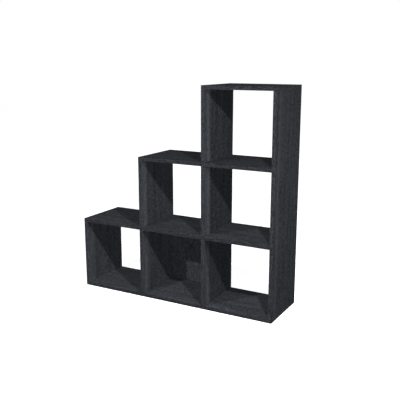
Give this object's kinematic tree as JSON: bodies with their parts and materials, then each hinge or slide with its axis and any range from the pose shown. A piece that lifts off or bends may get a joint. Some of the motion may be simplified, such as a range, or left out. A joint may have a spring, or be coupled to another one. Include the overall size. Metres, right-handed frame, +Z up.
{
  "type": "staircase bookshelf",
  "caption": "Free-standing staircase bookshelf of black ash-faced boards: square open cells rising in steps to the right, with a back panel behind the middle bottom cell.",
  "frame": {"origin": "on the floor, at the middle of the footprint of the whole unit", "axes": "+X to the right, towards the tall column; -Y out of the open front; +Z up"},
  "size_m": [1.08, 0.3, 1.08],
  "materials": {
    "black_ash_board": "satin black ash foil on chipboard, fine embossed grain",
    "black_hardboard": "satin black ash print on thin hardboard",
    "beech_dowel": "bare beech",
    "cast_zinc": "as-cast zinc, satin",
    "plated_steel": "bright zinc-plated steel",
    "cap_plastic": "black moulded plastic, satin"
  },
  "bodies": {
    "root": {"left_side": "black_ash_board", "right_side": "black_ash_board", "bottom_board": "black_ash_board", "lower_shelf": "black_ash_board", "upper_shelf": "black_ash_board", "top_board": "black_ash_board", "inner_wall_1_lower": "black_ash_board", "inner_wall_1_upper": "black_ash_board", "inner_wall_2_lower": "black_ash_board", "inner_wall_2_middle": "black_ash_board", "inner_wall_2_upper": "black_ash_board", "back_panel": "black_hardboard", "cam_bottom_left_front": "cast_zinc", "cam_bottom_left_rear": "cast_zinc", "cam_bottom_right_front": "cast_zinc", "cam_bottom_right_rear": "cast_zinc", "cam_left_top_front": "cast_zinc", "cam_left_top_rear": "cast_zinc", "cam_step_1_foot_front": "cast_zinc", "cam_step_1_foot_rear": "cast_zinc", "cam_step_1_head_front": "cast_zinc", "cam_step_1_head_rear": "cast_zinc", "cam_step_2_foot_front": "cast_zinc", "cam_step_2_foot_rear": "cast_zinc", "cam_step_2_head_front": "cast_zinc", "cam_step_2_head_rear": "cast_zinc", "cam_right_top_front": "cast_zinc", "cam_right_top_rear": "cast_zinc", "bolt_bottom_left_front": "plated_steel", "bolt_bottom_left_rear": "plated_steel", "bolt_bottom_right_front": "plated_steel", "bolt_bottom_right_rear": "plated_steel", "bolt_left_top_front": "plated_steel", "bolt_left_top_rear": "plated_steel", "bolt_step_1_foot_front": "plated_steel", "bolt_step_1_foot_rear": "plated_steel", "bolt_step_1_head_front": "plated_steel", "bolt_step_1_head_rear": "plated_steel", "bolt_step_2_foot_front": "plated_steel", "bolt_step_2_foot_rear": "plated_steel", "bolt_step_2_head_front": "plated_steel", "bolt_step_2_head_rear": "plated_steel", "bolt_right_top_front": "plated_steel", "bolt_right_top_rear": "plated_steel", "dowel_lower_shelf_end_front": "beech_dowel", "dowel_lower_shelf_end_rear": "beech_dowel", "dowel_upper_shelf_end_front": "beech_dowel", "dowel_upper_shelf_end_rear": "beech_dowel", "dowel_wall_1_foot_front": "beech_dowel", "dowel_wall_1_foot_rear": "beech_dowel", "dowel_wall_1_head_front": "beech_dowel", "dowel_wall_1_head_rear": "beech_dowel", "dowel_wall_2_foot_front": "beech_dowel", "dowel_wall_2_foot_rear": "beech_dowel", "dowel_wall_2_through_front": "beech_dowel", "dowel_wall_2_through_rear": "beech_dowel", "dowel_wall_2_head_front": "beech_dowel", "dowel_wall_2_head_rear": "beech_dowel"}
  },
  "joints": []
}
